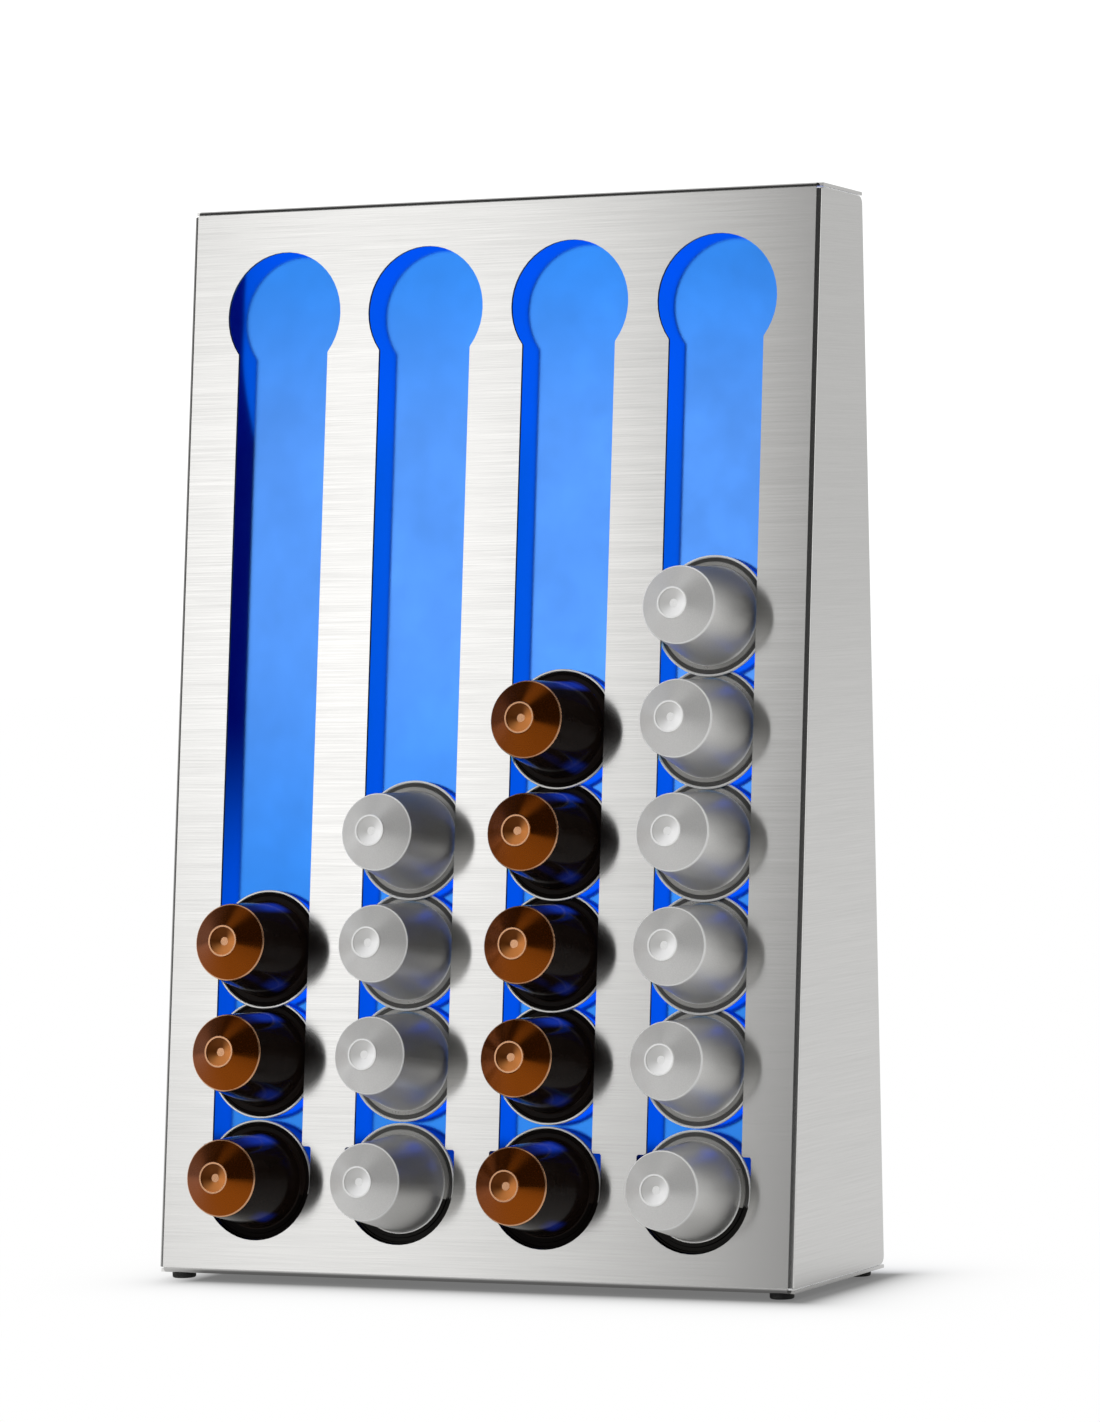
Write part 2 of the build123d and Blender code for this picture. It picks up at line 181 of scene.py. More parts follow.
class CapsuleSettings(bpy.types.PropertyGroup):
    """Drawn aluminium capsules"""

    silver: colour_setting("Silver", "Colour of the satin silver capsules", (0.78, 0.775, 0.76))
    silver_roughness: share_setting("Silver roughness", "Roughness of the satin silver", 0.42)
    silver_body: colour_setting("Silver body", "Colour of the silver capsules' bodies", (0.93, 0.925, 0.905))
    # The silver flanges are darker than the silver as painted shade, for the recess behind the front where
    # they sit
    flange: colour_setting("Flange", "Colour of the silver flanges", (0.40, 0.395, 0.38))
    copper: colour_setting("Copper brown", "Colour of the brown noses", (0.31, 0.072, 0.006))
    # Painted highlight on the brown dot, ring and shoulder edge
    bright_copper: colour_setting(
        "Bright copper", "Colour of the painted_highlight ring and shoulder edge", (0.78, 0.42, 0.23))
    # Painted light and shade in the brown dishes, by which way the dish faces
    dish_light: colour_setting("Dish light", "Bright half of the dish in the brown noses", (0.92, 0.34, 0.09))
    dish_shade: colour_setting("Dish shade", "Dark half of the dish in the brown noses", (0.13, 0.035, 0.004))
    # Colour of the painted reflection of the blue liner on the dark bodies
    painted_reflection: colour_setting("Sheen", "Blue sheen of the dark bodies", (0.004, 0.024, 0.28))
    # Painted shade: the groove inside the silver rims is coloured darker
    groove: colour_setting("Groove", "Groove inside the silver rims' edge", (0.14, 0.138, 0.134))
    # Painted shade on the lower rim of the lowest silver capsules
    shaded: colour_setting("Shaded rim", "Lower rim of a silver capsule in its exit", (0.02, 0.019, 0.018))
    copper_roughness: share_setting("Copper roughness", "Roughness of the brown noses", 0.27)
    lacquer: colour_setting("Dark lacquer", "Colour of the dark bodies", (0.012, 0.007, 0.005))
    lacquer_roughness: share_setting("Lacquer roughness", "Roughness of the dark bodies", 0.14)
    # Painted highlight: near white on the silver dot, ring, shoulder edge and curled edge
    bright: colour_setting("Bright edges", "Colour of the silver ring and shoulder edge", (0.95, 0.95, 0.94))
    # Uncoated metal of the brown curled edge, made light as a painted highlight too
    bare_and_highlight: colour_setting("Bare edge", "Colour of the bare curled edge", (0.80, 0.79, 0.77))
    foil: colour_setting("Foil", "Colour of the foil lids", (0.80, 0.79, 0.78))
    # Colour of a painted glow on the lids
    foil_glow: colour_setting("Foil glow", "Blue light that the lids catch", (0.035, 0.27, 0.56))


class SmallPartSettings(bpy.types.PropertyGroup):
    """Fixings and feet"""

    zinc: colour_setting("Zinc", "Colour of the plated fixings", (0.62, 0.63, 0.64))
    rubber: colour_setting("Rubber", "Colour of the feet", (0.018, 0.018, 0.017))


class StageSettings(bpy.types.PropertyGroup):
    """Floor, lamps, backdrop and camera"""

    floor: colour_setting("Floor", "Colour of the floor", (0.80, 0.80, 0.80))
    # Colour of the floor's painted shadow near the object
    painted_shadow_colour: colour_setting("Contact", "Colour of the floor under the object", (0.02, 0.02, 0.02))
    floor_size: length_setting("Floor size", "Radius of the floor", 8.0)
    shadow_reach: length_setting("Shadow reach", "Length over which the shadow halves", 0.008)
    key: FloatProperty(name="Key", description="Radiance of the left softbox", min=0, default=2.24)
    strip: FloatProperty(name="Strip", description="Radiance of the right strip", min=0, default=0.9)
    top_light: FloatProperty(name="Top light", description="Radiance of the lamp above", min=0, default=2.4)
    dark: share_setting("Dark side", "Radiance of the studio behind the camera", 0.05)
    backdrop: share_setting("Backdrop", "Radiance of the white backdrop in reflections", 0.70)
    ceiling: share_setting("Ceiling", "Radiance of the ceiling in reflections", 0.65)
    left_wall: share_setting("Left wall", "Radiance of the left wall in reflections", 0.3)
    dome: share_setting("Dome", "Radiance of the even light on matt surfaces", 0.8)
    lens: FloatProperty(
        name="Lens", description="Focal length for a 36 mm sensor", unit="CAMERA", min=1, default=157.63)
    camera: FloatVectorProperty(
        name="Camera", description="Place of the camera", subtype="TRANSLATION", unit="LENGTH",
        default=(0.84386, -1.70862, 0.22616))
    target: FloatVectorProperty(
        name="Target", description="Point in the middle of the picture", subtype="TRANSLATION",
        unit="LENGTH", default=(0.02835, -0.015475, 0.17533))
    roll: FloatProperty(
        name="Roll", description="Tilt of the camera about its own line of sight", unit="ROTATION",
        default=radians(-1.254))


class HolderSettings(bpy.types.PropertyGroup):
    """All settings of the capsule holder"""

    steel: PointerProperty(type=SteelSettings)
    liner: PointerProperty(type=LinerSettings)
    capsules: PointerProperty(type=CapsuleSettings)
    small_parts: PointerProperty(type=SmallPartSettings)
    stage: PointerProperty(type=StageSettings)


# Node helpers

def place(tree, kind, values=None, **settings):
    """New node with its settings and its unlinked input values."""
    node = tree.nodes.new(kind)
    for key, value in settings.items():
        setattr(node, key, value)
    for socket, value in (values or {}).items():
        node.inputs[socket].default_value = value
    return node


def join(tree, *pairs):
    """Link each (output, input) pair."""
    for source, target in pairs:
        tree.links.new(source, target)


def math(tree, operation, first, second=None):
    """Math node on sockets or plain numbers."""
    node = place(tree, "ShaderNodeMath", operation=operation)
    for index, value in enumerate((first, second)):
        if isinstance(value, (int, float)):
            node.inputs[index].default_value = value
        elif value is not None:
            tree.links.new(value, node.inputs[index])
    return node.outputs[0]


def spread(tree, value, low, high, to_low, to_high, smooth=False):
    """Map a value from one range to another, held at its ends."""
    node = place(
        tree, "ShaderNodeMapRange",
        {"From Min": low, "From Max": high, "To Min": to_low, "To Max": to_high},
        interpolation_type="SMOOTHSTEP" if smooth else "LINEAR")
    tree.links.new(value, node.inputs["Value"])
    return node.outputs["Result"]


def two_tone(tree, mask, first, second):
    """Colour between two colours, plain or from a socket, by a mask."""
    node = place(tree, "ShaderNodeMix", data_type="RGBA")
    for socket, colour in ((node.inputs[6], first), (node.inputs[7], second)):
        if isinstance(colour, bpy.types.NodeSocket):
            tree.links.new(colour, socket)
        else:
            socket.default_value = (*colour, 1)
    tree.links.new(mask, node.inputs[0])
    return node.outputs[2]


def shade(colour, factor):
    """Colour times a factor, kept between 0 and 1."""
    return tuple(min(1.0, max(0.0, c * factor)) for c in colour)


def bump(tree, height, strength, distance):
    """Bump node on a height."""
    node = place(tree, "ShaderNodeBump", {"Strength": strength, "Distance": distance})
    tree.links.new(height, node.inputs["Height"])
    return node.outputs["Normal"]


def own_axes(tree):
    """Coordinates on the piece itself, one socket for each axis."""
    spot = place(tree, "ShaderNodeTexCoord")
    axes = place(tree, "ShaderNodeSeparateXYZ")
    tree.links.new(spot.outputs["Object"], axes.inputs[0])
    return axes.outputs


def facing(tree, direction):
    """How far the surface faces a direction."""
    surface = place(tree, "ShaderNodeNewGeometry")
    dot = place(tree, "ShaderNodeVectorMath", {1: direction}, operation="DOT_PRODUCT")
    join(tree, (surface.outputs["Normal"], dot.inputs[0]))
    return dot.outputs["Value"]


def stretch_highlights(tree, shader, amount, along):
    """Stretch highlights across the brushing, along a direction laid onto the surface."""
    surface = place(tree, "ShaderNodeNewGeometry")
    level = place(tree, "ShaderNodeVectorMath", {1: along}, operation="CROSS_PRODUCT")
    upright = place(tree, "ShaderNodeVectorMath", operation="CROSS_PRODUCT")
    shader.inputs["Anisotropic"].default_value = amount
    join(
        tree,
        (surface.outputs["Normal"], level.inputs[0]),
        (level.outputs[0], upright.inputs[0]),
        (surface.outputs["Normal"], upright.inputs[1]),
        (upright.outputs[0], shader.inputs["Tangent"]))


def finish_tree(name):
    """New material with a Principled shader wired to its output."""
    material = bpy.data.materials.new(name)
    material.use_nodes = True
    tree = material.node_tree
    tree.nodes.clear()
    shader = tree.nodes.new("ShaderNodeBsdfPrincipled")
    output = tree.nodes.new("ShaderNodeOutputMaterial")
    tree.links.new(shader.outputs[0], output.inputs["Surface"])
    return material, tree, shader


def effect(tree, group, **values):
    """Place a shared effect in a material with its own values."""
    node = place(tree, "ShaderNodeGroup", node_tree=group)
    for socket, value in values.items():
        node.inputs[socket.replace("_", " ").title()].default_value = value
    return node


def new_effect(name, inputs, outputs):
    """Empty node group with named sockets."""
    group = bpy.data.node_groups.new(name, "ShaderNodeTree")
    for socket, default in inputs:
        made = group.interface.new_socket(socket, in_out="INPUT", socket_type="NodeSocketFloat")
        made.default_value = default
    for socket in outputs:
        group.interface.new_socket(socket, in_out="OUTPUT", socket_type="NodeSocketFloat")
    return group, group.nodes.new("NodeGroupInput"), group.nodes.new("NodeGroupOutput")


# Shared effects

def brushed_grain():
    """Long fine lines along the sheet's level direction, turned over on level faces."""
    name = "Brushed grain"
    if name in bpy.data.node_groups:
        return bpy.data.node_groups[name]
    group, start, end = new_effect(
        name, [("Line Width", 0.0004), ("Stretch", 60.0)], ["Tone", "Height"])
    band_share = 0.25
    axes = own_axes(group)
    tilt = place(group, "ShaderNodeSeparateXYZ")
    surface = place(group, "ShaderNodeNewGeometry")
    join(group, (surface.outputs["True Normal"], tilt.inputs[0]))
    level = spread(group, math(group, "ABSOLUTE", tilt.outputs["Z"]), 0.6, 0.8, 0, 1)
    upright = math(group, "SUBTRACT", 1, level)
    across = math(
        group, "ADD",
        math(group, "MULTIPLY", axes["Z"], upright),
        math(group, "MULTIPLY", axes["Y"], level))
    along = math(group, "ADD", axes["X"], math(group, "MULTIPLY", axes["Y"], upright))
    per_line = math(group, "DIVIDE", 1, start.outputs["Line Width"])
    fine = place(group, "ShaderNodeCombineXYZ")
    join(
        group,
        (math(group, "DIVIDE", math(group, "MULTIPLY", along, per_line), start.outputs["Stretch"]),
         fine.inputs["X"]),
        (math(group, "MULTIPLY", across, per_line), fine.inputs["Y"]))
    lines = place(
        group, "ShaderNodeTexNoise", {"Scale": 1.0, "Detail": 3.0, "Roughness": 0.65}, noise_dimensions="2D")
    bands = place(
        group, "ShaderNodeTexNoise", {"Scale": 0.09, "Detail": 2.0, "Roughness": 0.6}, noise_dimensions="2D")
    join(group, (fine.outputs[0], lines.inputs["Vector"]), (fine.outputs[0], bands.inputs["Vector"]))
    both = math(
        group, "ADD",
        math(group, "MULTIPLY", lines.outputs[0], 1 - band_share),
        math(group, "MULTIPLY", bands.outputs[0], band_share))
    join(
        group,
        (spread(group, both, 0.32, 0.68, 0, 1), end.inputs["Tone"]),
        (lines.outputs[0], end.inputs["Height"]))
    return group


def handling_haze():
    """Broad soft patches, as handling and wiping leave them."""
    name = "Handling haze"
    if name in bpy.data.node_groups:
        return bpy.data.node_groups[name]
    group, start, end = new_effect(name, [("Patch Size", 0.05), ("Contrast", 0.5)], ["Mask"])
    spot = place(group, "ShaderNodeTexCoord")
    patches = place(
        group, "ShaderNodeTexNoise", {"Detail": 4.0, "Roughness": 0.55}, noise_dimensions="3D")
    join(
        group,
        (spot.outputs["Object"], patches.inputs["Vector"]),
        (math(group, "DIVIDE", 1, start.outputs["Patch Size"]), patches.inputs["Scale"]))
    centred = math(group, "SUBTRACT", patches.outputs[0], 0.5)
    shifted = math(group, "MULTIPLY", centred, math(group, "MULTIPLY", start.outputs["Contrast"], 4))
    clamped = place(group, "ShaderNodeClamp")
    join(
        group,
        (math(group, "ADD", shifted, 0.5), clamped.inputs[0]),
        (clamped.outputs[0], end.inputs["Mask"]))
    return group


def fine_speckle():
    """Very small even texture of a satin or moulded surface."""
    name = "Fine speckle"
    if name in bpy.data.node_groups:
        return bpy.data.node_groups[name]
    group, start, end = new_effect(name, [("Grain Size", 0.0003)], ["Tone", "Height"])
    spot = place(group, "ShaderNodeTexCoord")
    grains = place(
        group, "ShaderNodeTexNoise", {"Detail": 2.0, "Roughness": 0.5}, noise_dimensions="3D")
    join(
        group,
        (spot.outputs["Object"], grains.inputs["Vector"]),
        (math(group, "DIVIDE", 1, start.outputs["Grain Size"]), grains.inputs["Scale"]),
        (spread(group, grains.outputs[0], 0.3, 0.7, 0, 1), end.inputs["Tone"]),
        (grains.outputs[0], end.inputs["Height"]))
    return group


# Finishes

def brushed_steel(settings):
    """Outside of the casing: level brushing that stretches highlights upright."""
    material, tree, shader = finish_tree("Brushed steel")
    grain = effect(tree, brushed_grain(), line_width=settings.line, stretch=110.0)
    haze = effect(tree, handling_haze(), patch_size=0.05, contrast=0.5)
    colour = two_tone(
        tree, grain.outputs["Tone"], shade(settings.colour, 0.96), shade(settings.colour, 1.04))
    rough = math(
        tree, "ADD",
        spread(tree, grain.outputs["Tone"], 0, 1, settings.roughness + 0.015, settings.roughness - 0.015),
        spread(tree, haze.outputs["Mask"], 0, 1, -0.01, 0.01))
    shader.inputs["Metallic"].default_value = 1.0
    stretch_highlights(tree, shader, settings.brushing, UP_THE_SHEET)
    join(
        tree,
        (colour, shader.inputs["Base Color"]),
        (rough, shader.inputs["Roughness"]),
        (bump(tree, grain.outputs["Height"], 0.012, 0.00002), shader.inputs["Normal"]))
    return material


def cut_steel(name, settings, tone):
    """Cut edges of the slots: dull, and darkened by a tone as painted shade, since they lie in shadow."""
    material, tree, shader = finish_tree(name)
    haze = effect(tree, handling_haze(), patch_size=0.004, contrast=0.5)
    colour = two_tone(
        tree, haze.outputs["Mask"], shade(settings.colour, 0.9 * tone), shade(settings.colour, 1.1 * tone))
    shader.inputs["Metallic"].default_value = 1.0
    join(
        tree,
        (colour, shader.inputs["Base Color"]),
        (spread(tree, haze.outputs["Mask"], 0, 1, 0.45, 0.55), shader.inputs["Roughness"]))
    return material


def mill_steel(settings):
    """Inside of the casing: the sheet's smoother mill finish."""
    material, tree, shader = finish_tree("Mill finish steel")
    grain = effect(tree, brushed_grain(), line_width=settings.line * 2, stretch=25.0)
    haze = effect(tree, handling_haze(), patch_size=0.03, contrast=0.5)
    colour = two_tone(
        tree, grain.outputs["Tone"], shade(settings.inside, 0.95), shade(settings.inside, 1.03))
    shader.inputs["Metallic"].default_value = 1.0
    join(
        tree,
        (colour, shader.inputs["Base Color"]),
        (spread(tree, haze.outputs["Mask"], 0, 1, 0.32, 0.42), shader.inputs["Roughness"]),
        (bump(tree, grain.outputs["Height"], 0.08, 0.00003), shader.inputs["Normal"]))
    return material


def channel_side(settings):
    """Back of the front: matt, with a painted blue glow, an emission standing in for the light that is caught
    between it and the liner.
    """
    material, tree, shader = finish_tree("Channel side of the front")
    wave = effect(tree, handling_haze(), patch_size=0.07, contrast=0.3)
    haze = effect(tree, handling_haze(), patch_size=0.01, contrast=0.5)
    axes = own_axes(tree)
    edge = math(
        tree, "ADD",
        spread(tree, axes["Z"], *DIM_HEIGHTS, *DIM_EDGES, smooth=True),
        spread(tree, wave.outputs["Mask"], 0, 1, -DIM_WAVE, DIM_WAVE))
    past_edge = math(tree, "SUBTRACT", axes["X"], edge)
    painted_lit = spread(tree, past_edge, -SOFT_EDGE, SOFT_EDGE, 0, 1, smooth=True)
    low_down = spread(tree, axes["Z"], *LOW_LIGHT, 0.9, 0, smooth=True)
    past_strip = math(tree, "SUBTRACT", axes["X"], FIRST_STRIP - STRIP_WIDTH)
    place_in_pitch = math(tree, "FLOORED_MODULO", past_strip, COLUMN_PITCH)
    strip = math(
        tree, "MULTIPLY",
        spread(tree, place_in_pitch, STRIP_WIDTH, STRIP_WIDTH + SOFT_EDGE, 1, 0, smooth=True),
        spread(tree, axes["Z"], *ABOVE_EXITS, 0, 1, smooth=True))
    beside = math(tree, "MAXIMUM", strip, spread(tree, axes["Z"], *ROUND_TOPS, 0, 1, smooth=True))
    # Painted glow: the caught light's colour right of the dim edge and low down, the dim light's colour left
    # of it, and only beside the slots and across the round tops
    glow = two_tone(tree, math(tree, "MAXIMUM", painted_lit, low_down), settings.dim_light, settings.caught_light)
    colour = two_tone(
        tree, haze.outputs["Mask"], shade(settings.inside, 0.6), shade(settings.inside, 0.7))
    shader.inputs["Metallic"].default_value = 1.0
    shader.inputs["Emission Strength"].default_value = 1.0
    join(
        tree,
        (colour, shader.inputs["Base Color"]),
        (two_tone(tree, beside, (0, 0, 0), glow), shader.inputs["Emission Color"]),
        (spread(tree, haze.outputs["Mask"], 0, 1, 0.5, 0.6), shader.inputs["Roughness"]))
    return material


def blue_mirror(settings):
    """Liner: blue mirror metal with a slight wave in the sheet, its blue painted lighter at middle heights
    and darker above and below, and painted dark at its foot as shade.
    """
    material, tree, shader = finish_tree("Blue mirror metal")
    haze = effect(tree, handling_haze(), patch_size=0.02, contrast=0.4)
    wave = effect(tree, handling_haze(), patch_size=settings.wave, contrast=0.25)
    axes = own_axes(tree)
    bow = math(tree, "MULTIPLY", axes["X"], settings.bow)
    height = math(tree, "ADD", bow, spread(tree, wave.outputs["Mask"], 0, 1, 0, LINER_WAVE))
    # Painted light: the sheet's blue is lighter at middle heights, where more of the softbox's light falls
    middle = math(
        tree, "MULTIPLY",
        spread(tree, axes["Z"], *LINER_RISE, 0, 1, smooth=True),
        spread(tree, axes["Z"], *LINER_FALL, 1, 0, smooth=True))
    painted_light_and_haze = math(tree, "ADD", middle, spread(tree, haze.outputs["Mask"], 0, 1, -0.04, 0.04))
    # Painted shade: the sheet turns near black at its foot
    above_painted_shade = spread(tree, axes["Z"], *LINER_PAINTED_SHADE, 0, 1, smooth=True)
    sheet = two_tone(tree, painted_light_and_haze, settings.painted_shade_blue, settings.colour)
    shader.inputs["Metallic"].default_value = 1.0
    join(
        tree,
        (two_tone(tree, above_painted_shade, settings.foot, sheet), shader.inputs["Base Color"]),
        (spread(tree, haze.outputs["Mask"], 0, 1, settings.roughness - 0.02, settings.roughness + 0.03),
         shader.inputs["Roughness"]),
        (bump(tree, height, 1.0, 1.0), shader.inputs["Normal"]))
    return material


def satin_metal(name, colour, roughness, speckle=0.06, dent=0.10, metallic=1.0, spun=0.0, glow=None):
    """Drawn and satin finished aluminium, spun where highlights stretch out from the axis."""
    material, tree, shader = finish_tree(name)
    # A given glow is a painted glow, an emission standing in for light that the surface catches
    if glow:
        shader.inputs["Emission Color"].default_value = (*glow, 1)
        shader.inputs["Emission Strength"].default_value = 1.0
    if spun:
        stretch_highlights(tree, shader, spun, CAPSULE_AXIS)
    grain = effect(tree, fine_speckle(), grain_size=0.00025)
    haze = effect(tree, handling_haze(), patch_size=0.008, contrast=0.5)
    tone = two_tone(tree, grain.outputs["Tone"], shade(colour, 1 - speckle), shade(colour, 1 + speckle))
    rough = math(
        tree, "ADD",
        spread(tree, haze.outputs["Mask"], 0, 1, roughness - 0.03, roughness + 0.03),
        spread(tree, grain.outputs["Tone"], 0, 1, -0.02, 0.02))
    shader.inputs["Metallic"].default_value = metallic
    join(
        tree,
        (tone, shader.inputs["Base Color"]),
        (rough, shader.inputs["Roughness"]),
        (bump(tree, grain.outputs["Height"], dent, 0.00002), shader.inputs["Normal"]))
    return material


def dish_metal(name, dark, bright, roughness, metallic):
    """Dish in a nose, with painted light and shade: dark where it faces down, light where it faces up and
    left, as if the light came from the upper left.
    """
    material, tree, shader = finish_tree(name)
    haze = effect(tree, handling_haze(), patch_size=0.003, contrast=0.4)
    painted_lit = math(
        tree, "ADD",
        spread(tree, facing(tree, UPPER_LEFT), -0.15, 0.45, 0, 1, smooth=True),
        spread(tree, haze.outputs["Mask"], 0, 1, -0.05, 0.05))
    shader.inputs["Metallic"].default_value = metallic
    shader.inputs["Specular IOR Level"].default_value = 0.1
    join(
        tree,
        (two_tone(tree, painted_lit, dark, bright), shader.inputs["Base Color"]),
        (spread(tree, haze.outputs["Mask"], 0, 1, roughness - 0.03, roughness + 0.03),
         shader.inputs["Roughness"]))
    return material


def painted_reflection_mask(tree):
    """Mask of the painted reflection: two patches on a body's flank where the blue liner would show in it,
    above and below.
    """
    spot = place(tree, "ShaderNodeTexCoord")
    along = place(tree, "ShaderNodeVectorMath", {1: CAPSULE_AXIS}, operation="DOT_PRODUCT")
    join(tree, (spot.outputs["Object"], along.inputs[0]))
    height = math(tree, "SUBTRACT", along.outputs["Value"], lid_plane())
    above_rim = spread(tree, height, *PAINTED_REFLECTION_START, 0, 1, smooth=True)
    round_about = math(tree, "ARCTAN2", facing(tree, UP_THE_SLOPE), facing(tree, TO_THE_RIGHT))
    patches = []
    for turn, fade, share, end, rest in (
            (UPPER_TURN, UPPER_FADE, 1, UPPER_END, UPPER_REST),
            (LOWER_TURN, LOWER_FADE, LOWER_SHARE, LOWER_END, 0)):
        beside = math(tree, "ABSOLUTE", math(tree, "SUBTRACT", round_about, turn))
        patches.append(math(
            tree, "MULTIPLY",
            spread(tree, beside, *fade, share, 0, smooth=True),
            spread(tree, height, *end, 1, rest, smooth=True)))
    return math(tree, "MULTIPLY", math(tree, "MAXIMUM", *patches), above_rim)


def dark_lacquer(name, lacquer, roughness, gloss, painted_reflection=None):
    """Body of the brown capsules: near black lacquer over the metal, with a painted reflection of the blue
    liner as a glow where one is given.
    """
    material, tree, shader = finish_tree(name)
    if painted_reflection:
        shader.inputs["Emission Strength"].default_value = 1.0
        join(tree, (two_tone(tree, painted_reflection_mask(tree), (0, 0, 0), painted_reflection), shader.inputs["Emission Color"]))
    haze = effect(tree, handling_haze(), patch_size=0.006, contrast=0.5)
    grain = effect(tree, fine_speckle(), grain_size=0.0005)
    colour = two_tone(tree, haze.outputs["Mask"], shade(lacquer, 0.8), shade(lacquer, 1.3))
    shader.inputs["IOR"].default_value = 1.55
    shader.inputs["Specular IOR Level"].default_value = gloss
    join(
        tree,
        (colour, shader.inputs["Base Color"]),
        (spread(tree, haze.outputs["Mask"], 0, 1, roughness - 0.03, roughness + 0.04),
         shader.inputs["Roughness"]),
        (bump(tree, grain.outputs["Height"], 0.05, 0.00002), shader.inputs["Normal"]))
    return material


def black_rubber(settings):
    """Feet: matt black rubber with a moulded grain and a little dust."""
    material, tree, shader = finish_tree("Black rubber")
    grain = effect(tree, fine_speckle(), grain_size=0.0004)
    dust = effect(tree, handling_haze(), patch_size=0.004, contrast=0.6)
    colour = two_tone(tree, dust.outputs["Mask"], settings.rubber, shade(settings.rubber, 2.2))
    join(
        tree,
        (colour, shader.inputs["Base Color"]),
        (spread(tree, grain.outputs["Tone"], 0, 1, 0.62, 0.78), shader.inputs["Roughness"]),
        (bump(tree, grain.outputs["Height"], 0.3, 0.00008), shader.inputs["Normal"]))
    return material


# Faces of the CAD pieces

def face_arrays(node):
    """Centres and normals of a node's faces."""
    mesh = node.data
    centres = np.empty(len(mesh.polygons) * 3)
    normals = np.empty(len(mesh.polygons) * 3)
    mesh.polygons.foreach_get("center", centres)
    mesh.polygons.foreach_get("normal", normals)
    return centres.reshape(-1, 3), normals.reshape(-1, 3)


def dress(node, materials, choice=None):
    """Put materials in a node's slots, with one index per face where there is a choice."""
    node.data.materials.clear()
    for material in materials:
        node.data.materials.append(material)
    indices = np.zeros(len(node.data.polygons), np.int32) if choice is None else choice.astype(np.int32)
    node.data.polygons.foreach_set("material_index", indices)
    node.data.update()


def between(values, limits):
    """Which values lie between two limits."""
    return (values > limits[0]) & (values < limits[1])


def lid_middle(name):
    """Points of a capsule's lid and the middle of their box."""
    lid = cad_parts[f"{name}_lid"].data
    points = np.empty(len(lid.vertices) * 3)
    lid.vertices.foreach_get("co", points)
    points = points.reshape(-1, 3)
    return points, (points.min(0) + points.max(0)) / 2


def lid_plane():
    """Place of the lids along the capsules' axis."""
    return float(lid_middle("column3_capsule2")[1] @ np.array(CAPSULE_AXIS))


def capsule_profile(name):
    """Distance from the axis, height above the lid and low side of a cup's faces, from its lid."""
    points, middle = lid_middle(name)
    axis = np.linalg.svd(points - middle)[2][2]
    if axis[1] > 0:
        axis = -axis
    centres = face_arrays(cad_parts[f"{name}_cup"])[0]
    height = (centres - middle) @ axis
    radius = np.linalg.norm(centres - middle - np.outer(height, axis), axis=1)
    return radius, height, centres[:, 2] < middle[2] - SHADE_DROP


def capsule_zones(name):
    """Zone of each of a cup's faces, from the nose to the rim that lies shaded in an exit."""
    radius, height, low = capsule_profile(name)
    rim = (radius > RIM_RADIUS) & (height < RIM_HEIGHT)
    dish = (radius < DISH_RADIUS) & (height > DISH_FLOOR)
    dot = dish & (radius < DOT_RADIUS)
    ring = (radius > DISH_RADIUS) & (radius < RING_RADIUS) & (height > RING_HEIGHT)
    shoulder = between(radius, SHOULDER_RADII) & between(height, SHOULDER_HEIGHTS)
    zones = np.where(height > NOSE_START, NOSE, BODY)
    zones[rim] = FLANGE
    zones[dish] = DISH
    # Painted highlight on the dot, the ring and the shoulder edge
    zones[dot | ring | shoulder] = PAINTED_HIGHLIGHT_ZONE
    # Painted shade in the groove inside each rim
    zones[rim & (radius > GROOVE_RADIUS)] = GROOVE
    zones[radius > CURL_RADIUS] = CURL
    # Painted shade on the lower rim of the lowest capsules, where they lie in their exits
    if name.endswith("capsule1"):
        zones[rim & low] = SHADED
    return zones


def capsule_names(columns):
    """Names of the capsules in the given columns."""
    return sorted(n[:-4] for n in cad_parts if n.startswith(columns) and n.endswith("_cup"))


# Stage

